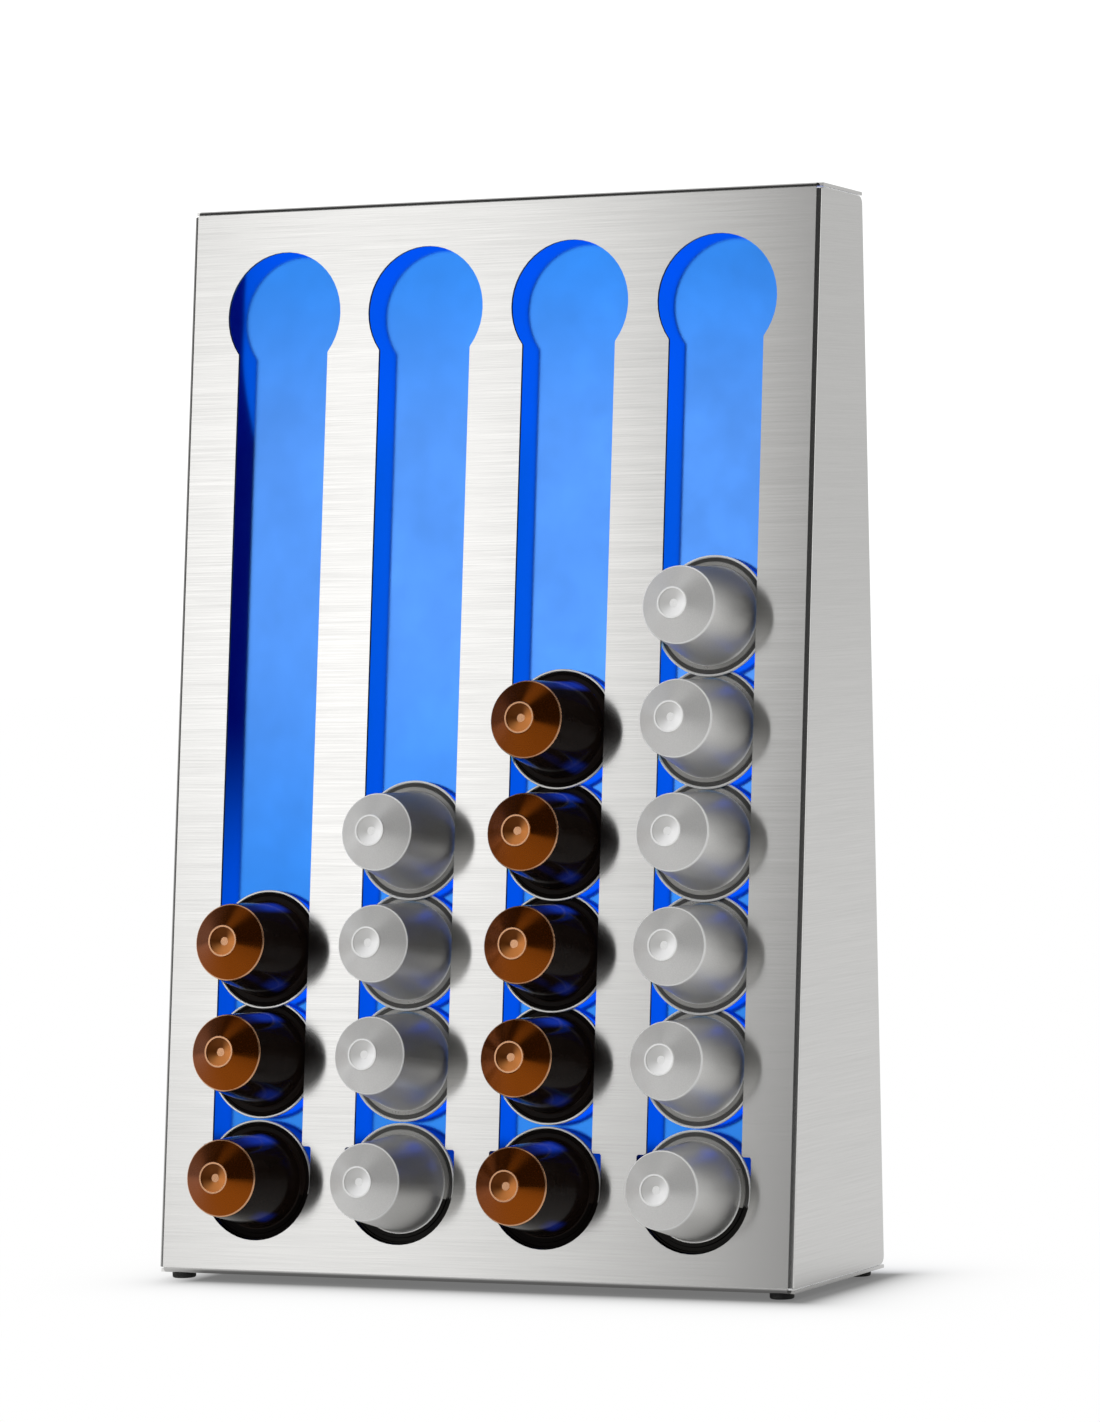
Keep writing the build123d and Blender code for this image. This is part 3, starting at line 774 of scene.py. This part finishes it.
def floor(settings):
    """Round pale floor with a painted shadow near the object, on top of its real shading, that fades to white
    away from the object.
    """
    mesh = bpy.data.meshes.new("floor")
    shape = bmesh.new()
    bmesh.ops.create_circle(shape, cap_ends=True, segments=96, radius=settings.floor_size)
    shape.to_mesh(mesh)
    shape.free()
    piece = bpy.data.objects.new("floor", mesh)
    bpy.context.scene.collection.objects.link(piece)

    material, tree, shader = finish_tree("Pale floor")
    shader.inputs["Roughness"].default_value = 0.6
    shader.inputs["Specular IOR Level"].default_value = 0.2
    output = next(n for n in tree.nodes if n.type == "OUTPUT_MATERIAL")
    white = place(tree, "ShaderNodeEmission", {"Color": (1, 1, 1, 1)})
    blend = place(tree, "ShaderNodeMixShader")
    low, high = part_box("casing")
    surface = place(tree, "ShaderNodeNewGeometry")
    offset = place(tree, "ShaderNodeVectorMath", {1: (low + high) / 2 + SHADOW_SHIFT}, operation="SUBTRACT")
    mirrored = place(tree, "ShaderNodeVectorMath", operation="ABSOLUTE")
    outside = place(tree, "ShaderNodeVectorMath", {1: (high - low) / 2 - SHADOW_TRIM}, operation="SUBTRACT")
    beyond = place(tree, "ShaderNodeVectorMath", {1: (0, 0, 0)}, operation="MAXIMUM")
    far = place(tree, "ShaderNodeVectorMath", operation="LENGTH")
    path = place(tree, "ShaderNodeLightPath")
    seen = math(tree, "MAXIMUM", path.outputs["Is Camera Ray"], path.outputs["Is Glossy Ray"])
    steps = (offset, mirrored, outside, beyond, far)
    join(tree, (surface.outputs["Position"], offset.inputs[0]))
    for before, after in zip(steps, steps[1:]):
        join(tree, (before.outputs[0], after.inputs[0]))
    halvings = math(tree, "DIVIDE", far.outputs["Value"], settings.shadow_reach)
    # Painted shadow: the floor's colour darkens near the casing's box, halving with each reach of distance
    shadow = math(tree, "POWER", 0.5, halvings)
    outer = spread(tree, far.outputs["Value"], 0, SHADOW_RIM, 0, 1)
    fade = math(tree, "MULTIPLY", math(tree, "SUBTRACT", 1, shadow), outer)
    axes = place(tree, "ShaderNodeSeparateXYZ")
    shine = spread(tree, axes.outputs["Y"], *SHINE_PLACES, *SHINE, smooth=True)
    strength = math(
        tree, "MAXIMUM", path.outputs["Is Camera Ray"],
        math(tree, "MULTIPLY", path.outputs["Is Glossy Ray"], shine))
    join(
        tree,
        (surface.outputs["Position"], axes.inputs[0]),
        (two_tone(tree, shadow, settings.floor, settings.painted_shadow_colour), shader.inputs["Base Color"]),
        (strength, white.inputs["Strength"]),
        (math(tree, "MULTIPLY", fade, seen), blend.inputs[0]),
        (shader.outputs[0], blend.inputs[1]),
        (white.outputs[0], blend.inputs[2]),
        (blend.outputs[0], output.inputs["Surface"]))
    mesh.materials.append(material)


def studio(scene, settings):
    """Softbox and backdrop as reflections show them, and an even light on matt surfaces."""
    world = bpy.data.worlds.new("Studio")
    scene.world = world
    world.use_nodes = True
    world.cycles.sampling_method = "NONE"
    tree = world.node_tree
    tree.nodes.clear()
    way = place(tree, "ShaderNodeTexCoord")
    axes = place(tree, "ShaderNodeSeparateXYZ")
    path = place(tree, "ShaderNodeLightPath")
    light = place(tree, "ShaderNodeBackground", {"Color": (1, 1, 1, 1)})
    output = place(tree, "ShaderNodeOutputWorld")
    join(tree, (way.outputs["Generated"], axes.inputs[0]), (light.outputs[0], output.inputs["Surface"]))

    turn = math(tree, "ARCTAN2", axes.outputs["X"], math(tree, "MULTIPLY", axes.outputs["Y"], -1))
    off_heart = math(tree, "ABSOLUTE", math(tree, "SUBTRACT", axes.outputs["Z"], KEY_HEART))
    key = spread(tree, off_heart, 0, KEY_FALL, settings.key, KEY_FLANK_SHARE * settings.key, smooth=True)
    foot = (KEY_FOOT - KEY_FOOT_FADE, KEY_FOOT + KEY_FOOT_FADE)
    head = (KEY_HEAD - KEY_HEAD_FADE, KEY_HEAD + KEY_HEAD_FADE)
    for edge in (
            spread(tree, turn, *KEY_LEFT, 0, 1, smooth=True),
            spread(tree, turn, *KEY_CORE, KEY_LEFT_SHARE, 1, smooth=True),
            spread(tree, turn, *KEY_RIGHT, 1, 0, smooth=True),
            spread(tree, axes.outputs["Z"], *foot, 0, 1, smooth=True),
            spread(tree, axes.outputs["Z"], *head, 1, 0, smooth=True)):
        key = math(tree, "MULTIPLY", key, edge)
    shown = key
    for area in (
            spread(tree, axes.outputs["Y"], *BACKDROP_FADE, settings.dark, settings.backdrop, smooth=True),
            spread(tree, axes.outputs["Z"], *CEILING_FADE, 0, settings.ceiling, smooth=True),
            spread(tree, axes.outputs["X"], *WALL_FADE, settings.left_wall, 0, smooth=True)):
        shown = math(tree, "MAXIMUM", shown, area)
    dome = spread(tree, axes.outputs["X"], -1, 1, DOME_LEFT * settings.dome, DOME_RIGHT * settings.dome)
    matt = math(tree, "SUBTRACT", 1, path.outputs["Is Glossy Ray"])
    radiance = math(
        tree, "ADD",
        math(tree, "MULTIPLY", shown, path.outputs["Is Glossy Ray"]), math(tree, "MULTIPLY", dome, matt))
    join(tree, (math(tree, "MAXIMUM", radiance, path.outputs["Is Camera Ray"]), light.inputs["Strength"]))


def softbox(name, radiance, size, spot, way):
    """Rectangular area lamp of a given radiance that shines one way."""
    lamp = bpy.data.lights.new(name, "AREA")
    lamp.shape = "RECTANGLE"
    lamp.size, lamp.size_y = size
    lamp.energy = radiance * pi * size[0] * size[1]
    piece = bpy.data.objects.new(name, lamp)
    bpy.context.scene.collection.objects.link(piece)
    piece.location = spot
    piece.rotation_mode = "QUATERNION"
    piece.rotation_quaternion = Vector(way).to_track_quat("-Z", "Y")
    piece.visible_camera = False
    return piece


def photo_camera(scene, settings):
    """Camera at the photograph's viewing angle."""
    lens = bpy.data.cameras.new("Camera")
    lens.lens = settings.lens
    lens.sensor_width = SENSOR_WIDTH
    lens.clip_start, lens.clip_end = CLIP_START, CLIP_END
    piece = bpy.data.objects.new("Camera", lens)
    scene.collection.objects.link(piece)
    spot = Vector(settings.camera)
    ahead = (Vector(settings.target) - spot).normalized()
    level = ahead.cross(UP).normalized()
    upright = level.cross(ahead)
    right = level * cos(settings.roll) + upright * sin(settings.roll)
    top = upright * cos(settings.roll) - level * sin(settings.roll)
    turn = Matrix((right, top, -ahead)).transposed()
    piece.matrix_world = Matrix.Translation(spot) @ turn.to_4x4()
    scene.camera = piece


# Operators

class HOLDER_OT_casing(bpy.types.Operator):
    """Brushed steel outside and mill finish inside the casing"""

    bl_idname = "holder.casing"
    bl_label = "Finish the casing"

    def execute(self, context):
        settings = context.scene.capsule_holder.steel
        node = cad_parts["casing"]
        low, high = (np.array(corner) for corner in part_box("casing"))
        heart = (low + high) / 2
        heart[1] = high[1] - HEART_SHARE * (high[1] - low[1])
        centres, normals = face_arrays(node)
        inward = ((centres - heart) * normals).sum(1) < 0
        edgewise = np.abs(normals[:, 1]) < 0.5
        slot_edge = edgewise & (np.abs(centres[:, 0]) < 0.95 * high[0])
        level = np.abs(normals[:, 2]) > 0.9
        choice = np.where(inward & (~slot_edge | level), INSIDE, OUTSIDE)
        choice[inward & (normals[:, 1] > 0.9)] = CHANNEL
        in_front = centres[:, 1] < low[1] + FRONT_DEPTH + (centres[:, 2] - low[2]) * LEAN_SLOPE
        off_sides = np.abs(centres[:, 0]) < high[0] - SIDE_MARGIN
        off_folds = between(centres[:, 2], (low[2] + FOLD_MARGIN, high[2] - FOLD_MARGIN))
        cut = in_front & off_sides & off_folds & edgewise
        choice[cut] = CUT
        choice[cut & (centres[:, 2] < low[2] + EXIT_HEIGHT)] = EXIT_CUT
        finishes = [
            brushed_steel(settings), mill_steel(settings), channel_side(settings),
            # Painted shade: the slots' cut edges at half tone, the exits' cut edges nearly black
            cut_steel("Cut steel edge", settings, tone=0.5),
            cut_steel("Cut edge of an exit", settings, tone=0.1)]
        dress(node, finishes, choice)
        return {"FINISHED"}


class HOLDER_OT_liner(bpy.types.Operator):
    """Blue mirror metal on the liner"""

    bl_idname = "holder.liner"
    bl_label = "Finish the liner"

    def execute(self, context):
        dress(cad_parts["blue_liner"], [blue_mirror(context.scene.capsule_holder.liner)])
        return {"FINISHED"}


class HOLDER_OT_fixings(bpy.types.Operator):
    """Plated finish on the studs, sleeves, washers and nuts"""

    bl_idname = "holder.fixings"
    bl_label = "Finish the fixings"

    def execute(self, context):
        settings = context.scene.capsule_holder.small_parts
        plated = satin_metal("Zinc plating", settings.zinc, roughness=0.32, speckle=0.10, dent=0.2)
        for name in FIXINGS:
            dress(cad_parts[name], [plated])
        return {"FINISHED"}


class HOLDER_OT_feet(bpy.types.Operator):
    """Black rubber on the feet"""

    bl_idname = "holder.feet"
    bl_label = "Finish the feet"

    def execute(self, context):
        rubber = black_rubber(context.scene.capsule_holder.small_parts)
        for name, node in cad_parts.items():
            if name.startswith("foot_"):
                dress(node, [rubber])
        return {"FINISHED"}


class HOLDER_OT_silver_capsules(bpy.types.Operator):
    """Satin silver on the capsules of the second and fourth columns"""

    bl_idname = "holder.silver_capsules"
    bl_label = "Finish the silver capsules"

    def execute(self, context):
        settings = context.scene.capsule_holder.capsules
        finishes = [
            satin_metal("Satin silver", settings.silver, settings.silver_roughness, metallic=0.4, spun=0.5),
            satin_metal("Silver body", settings.silver_body, roughness=0.5, metallic=0.95),
            # Smoother metal, and a darker colour as painted shade for the recess behind the front
            satin_metal("Silver flange", settings.flange, roughness=0.3, metallic=0.7),
            satin_metal("Silver painted_highlight edges", settings.bright, roughness=0.3, metallic=0.0),
            # Painted highlight: the silver curled edge is near white and nearly matt
            satin_metal("Silver curled edge", settings.bright, roughness=0.3, metallic=0.1),
            # Painted light and shade in the silver dish
            dish_metal("Silver dish", shade(settings.silver, 0.85), (1, 1, 1), roughness=0.4, metallic=0.0),
            # Painted shade in the groove
            satin_metal("Silver groove", settings.groove, roughness=0.4),
            # Painted shade on the lower rim in an exit
            satin_metal("Silver shaded rim", settings.shaded, roughness=0.4)]
        for name in capsule_names(SILVER_COLUMNS):
            dress(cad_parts[f"{name}_cup"], finishes, capsule_zones(name))
        return {"FINISHED"}


class HOLDER_OT_brown_capsules(bpy.types.Operator):
    """Copper brown noses and dark bodies on the capsules of the first and third columns"""

    bl_idname = "holder.brown_capsules"
    bl_label = "Finish the brown capsules"

    def execute(self, context):
        settings = context.scene.capsule_holder.capsules
        finishes = [
            satin_metal(
                "Copper brown", settings.copper, settings.copper_roughness, speckle=0.03, dent=0.012,
                spun=0.75),
            dark_lacquer(
                "Dark brown lacquer", settings.lacquer, settings.lacquer_roughness, gloss=0.07,
                painted_reflection=settings.painted_reflection),
            dark_lacquer("Dark brown flange", settings.lacquer, roughness=0.4, gloss=0.12),
            satin_metal("Copper painted_highlight edges", settings.bright_copper, roughness=0.25, metallic=0.8),
            # Partly a painted highlight: the curled edge is light and half matt, so it shows a thin light
            # line
            satin_metal("Bare curled edge", settings.bare_and_highlight, roughness=0.2, metallic=0.5),
            # Painted light and shade in the brown dish
            dish_metal("Copper dish", settings.dish_shade, settings.dish_light, roughness=0.38, metallic=0.4),
            # Painted shade in the groove: the lacquer at half its colour
            dark_lacquer("Brown groove", shade(settings.lacquer, 0.5), roughness=0.5, gloss=0.05),
            # Painted shade on the lower rim in an exit: the lacquer at a third of its colour
            dark_lacquer("Brown shaded rim", shade(settings.lacquer, 0.3), roughness=0.5, gloss=0.05)]
        for name in capsule_names(BROWN_COLUMNS):
            dress(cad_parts[f"{name}_cup"], finishes, capsule_zones(name))
        return {"FINISHED"}


class HOLDER_OT_lids(bpy.types.Operator):
    """Foil on all lids with a painted blue glow, an emission for the light they catch, fainter on the
    capsules that are drawn out
    """

    bl_idname = "holder.lids"
    bl_label = "Finish the lids"

    def execute(self, context):
        settings = context.scene.capsule_holder.capsules
        # The lowest capsules' lids keep a fainter painted glow
        faint_glow = shade(settings.foil_glow, 0.3)
        plain = satin_metal(
            "Lid foil", settings.foil, roughness=0.3, speckle=0.05, dent=0.4, glow=faint_glow)
        painted_lit = satin_metal(
            "Blue lit lid foil", settings.foil, roughness=0.3, speckle=0.05, dent=0.15,
            glow=settings.foil_glow)
        for name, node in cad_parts.items():
            if name.endswith("_capsule1_lid"):
                dress(node, [plain])
            elif name.endswith("_lid"):
                dress(node, [painted_lit])
        return {"FINISHED"}


class HOLDER_OT_stage(bpy.types.Operator):
    """Floor, backdrop, lamps and camera"""

    bl_idname = "holder.stage"
    bl_label = "Set the stage"

    def execute(self, context):
        settings = context.scene.capsule_holder.stage
        context.scene.view_settings.view_transform = "Standard"
        floor(settings)
        studio(context.scene, settings)
        softbox("Side strip", settings.strip, *STRIP_LAMP)
        top = softbox("Top light", settings.top_light, *TOP_LAMP)
        top.visible_glossy = False
        photo_camera(context.scene, settings)
        return {"FINISHED"}


# Panel and registration

class HOLDER_PT_panel(bpy.types.Panel):
    """Buttons that finish the holder's pieces"""

    bl_idname = "HOLDER_PT_panel"
    bl_label = "Capsule holder"
    bl_space_type = "VIEW_3D"
    bl_region_type = "UI"
    bl_category = "Capsule holder"

    def draw(self, context):
        settings = context.scene.capsule_holder
        for operator in OPERATORS:
            self.layout.operator(operator.bl_idname)
        for part in ("steel", "liner", "capsules", "small_parts", "stage"):
            group = getattr(settings, part)
            box = self.layout.box()
            for key in group.bl_rna.properties.keys():
                if key not in ("rna_type", "name"):
                    box.prop(group, key)


GROUPS = (
    SteelSettings, LinerSettings, CapsuleSettings, SmallPartSettings, StageSettings, HolderSettings)
OPERATORS = (
    HOLDER_OT_casing, HOLDER_OT_liner, HOLDER_OT_fixings, HOLDER_OT_feet, HOLDER_OT_silver_capsules,
    HOLDER_OT_brown_capsules, HOLDER_OT_lids, HOLDER_OT_stage)


def register():
    for cls in (*GROUPS, *OPERATORS, HOLDER_PT_panel):
        bpy.utils.register_class(cls)
    bpy.types.Scene.capsule_holder = PointerProperty(type=HolderSettings)


def unregister():
    del bpy.types.Scene.capsule_holder
    for cls in reversed((*GROUPS, *OPERATORS, HOLDER_PT_panel)):
        bpy.utils.unregister_class(cls)


def main():
    register()
    bpy.ops.holder.casing()
    bpy.ops.holder.liner()
    bpy.ops.holder.fixings()
    bpy.ops.holder.feet()
    bpy.ops.holder.silver_capsules()
    bpy.ops.holder.brown_capsules()
    bpy.ops.holder.lids()
    bpy.ops.holder.stage()


if __name__ == "__main__":
    main()
